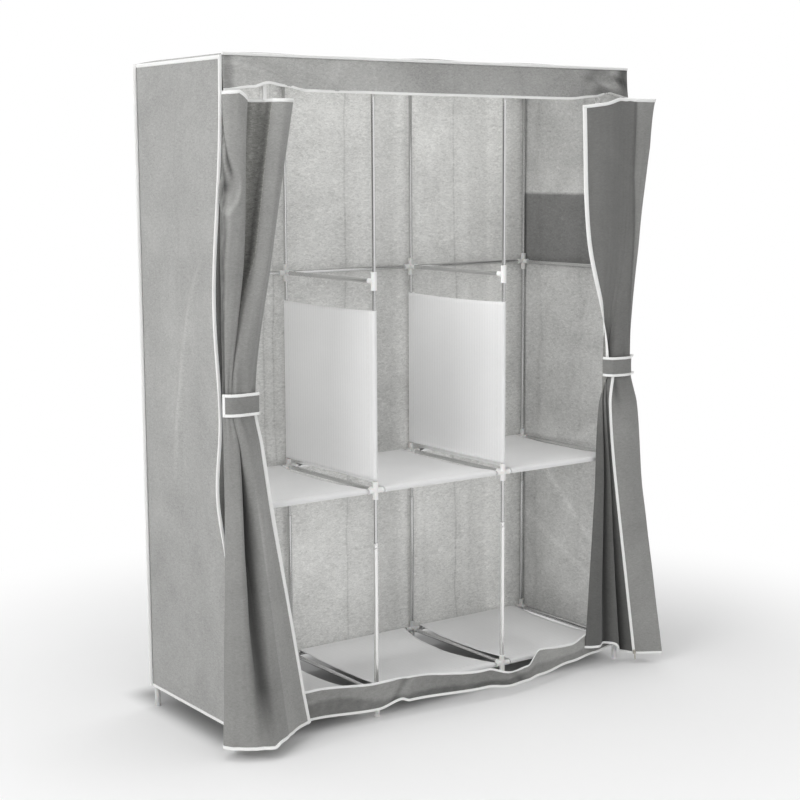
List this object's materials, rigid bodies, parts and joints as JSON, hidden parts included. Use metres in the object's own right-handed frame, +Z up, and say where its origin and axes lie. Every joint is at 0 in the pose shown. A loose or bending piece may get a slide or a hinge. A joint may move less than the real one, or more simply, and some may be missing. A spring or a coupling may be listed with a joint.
{
  "type": "portable wardrobe",
  "caption": "Portable wardrobe with a tube frame, fabric shelves and dividers, a non-woven cover and curtains tied back at the front corners.",
  "frame": {"origin": "on the floor, under the middle of the box round the whole wardrobe", "axes": "+Z up, -Y out of the open front, +X to the right as seen from the front"},
  "size_m": [1.4266, 0.5666, 1.72],
  "materials": {
    "chromed_steel": "bright chromed tube with white plastic connectors",
    "grey_cover_fabric": "mid-grey non-woven fabric with a dotted bond, pale on its inside",
    "grey_curtain_fabric": "mid-grey non-woven fabric with white bound edges",
    "grey_strap_fabric": "grey strap with white bound edges",
    "off_white_fabric": "off-white non-woven fabric with a pressed grain",
    "zip_metal": "cast zip metal"
  },
  "bodies": {
    "frame_and_cover": {"back_panel": "grey_cover_fabric", "bottom_depth_tube_1": "chromed_steel", "bottom_depth_tube_2": "chromed_steel", "bottom_depth_tube_3": "chromed_steel", "bottom_depth_tube_4": "chromed_steel", "bottom_shelf_1": "off_white_fabric", "bottom_shelf_2": "off_white_fabric", "bottom_shelf_3": "off_white_fabric", "divider_1": "off_white_fabric", "divider_2": "off_white_fabric", "front_bottom_tube_1": "chromed_steel", "front_bottom_tube_2": "chromed_steel", "front_bottom_tube_3": "chromed_steel", "front_middle_tube_1": "chromed_steel", "front_middle_tube_2": "chromed_steel", "front_middle_tube_3": "chromed_steel", "front_post_1": "chromed_steel", "front_post_2": "chromed_steel", "front_post_3": "chromed_steel", "front_post_4": "chromed_steel", "front_top_rail": "chromed_steel", "left_side_panel": "grey_cover_fabric", "middle_depth_tube_1": "chromed_steel", "middle_depth_tube_2": "chromed_steel", "middle_depth_tube_3": "chromed_steel", "middle_depth_tube_4": "chromed_steel", "middle_shelf_1": "off_white_fabric", "middle_shelf_2": "off_white_fabric", "middle_shelf_3": "off_white_fabric", "rear_bottom_rail": "chromed_steel", "rear_middle_tube_1": "chromed_steel", "rear_middle_tube_2": "chromed_steel", "rear_middle_tube_3": "chromed_steel", "rear_post_1": "chromed_steel", "rear_post_2": "chromed_steel", "rear_post_3": "chromed_steel", "rear_post_4": "chromed_steel", "rear_top_rail": "chromed_steel", "rear_upper_tube_1": "chromed_steel", "rear_upper_tube_2": "chromed_steel", "rear_upper_tube_3": "chromed_steel", "right_side_panel": "grey_cover_fabric", "side_pocket": "grey_cover_fabric", "skirt": "grey_cover_fabric", "top_depth_tube_1": "chromed_steel", "top_depth_tube_2": "chromed_steel", "top_depth_tube_3": "chromed_steel", "top_depth_tube_4": "chromed_steel", "top_panel": "grey_cover_fabric", "upper_depth_tube_1": "chromed_steel", "upper_depth_tube_2": "chromed_steel", "upper_depth_tube_3": "chromed_steel", "upper_depth_tube_4": "chromed_steel", "valance": "grey_cover_fabric"},
    "left_curtain": {"left_curtain": "grey_curtain_fabric"},
    "right_curtain": {"right_curtain": "grey_curtain_fabric"},
    "left_tie": {"left_tie_strap": "grey_strap_fabric"},
    "right_tie": {"right_tie_strap": "grey_strap_fabric"},
    "zip_slider": {"zip_slider": "zip_metal"},
    "zip_pull": {"zip_pull": "zip_metal"}
  },
  "joints": [
    {"name": "left_curtain_swing", "type": "hinge", "parent": "frame_and_cover", "child": "left_curtain", "pos_m": [-0.6729, -0.16411, 0.9], "axis": [0, 0, -1], "range_deg": [0, 45]},
    {"name": "right_curtain_swing", "type": "hinge", "parent": "frame_and_cover", "child": "right_curtain", "pos_m": [0.6339, -0.16411, 0.9], "axis": [0, 0, 1], "range_deg": [0, 45]},
    {"name": "left_tie_open", "type": "hinge", "parent": "left_curtain", "child": "left_tie", "pos_m": [-0.6023, -0.17651, 0.885], "axis": [0, 0, 1], "range_deg": [0, 110]},
    {"name": "right_tie_open", "type": "hinge", "parent": "right_curtain", "child": "right_tie", "pos_m": [0.54486, -0.17899, 0.885], "axis": [0, 0, -1], "range_deg": [0, 110]},
    {"name": "zip_slide", "type": "slide", "parent": "right_curtain", "child": "zip_slider", "axis": [-0.0921, 0.0079, 0.9957], "range_m": [0, 0.4]},
    {"name": "pull_swing", "type": "hinge", "parent": "zip_slider", "child": "zip_pull", "pos_m": [0.63852, -0.22984, 0.03575], "axis": [-0.9107, 0.4038, -0.0874], "range_deg": [0, 100]}
  ]
}
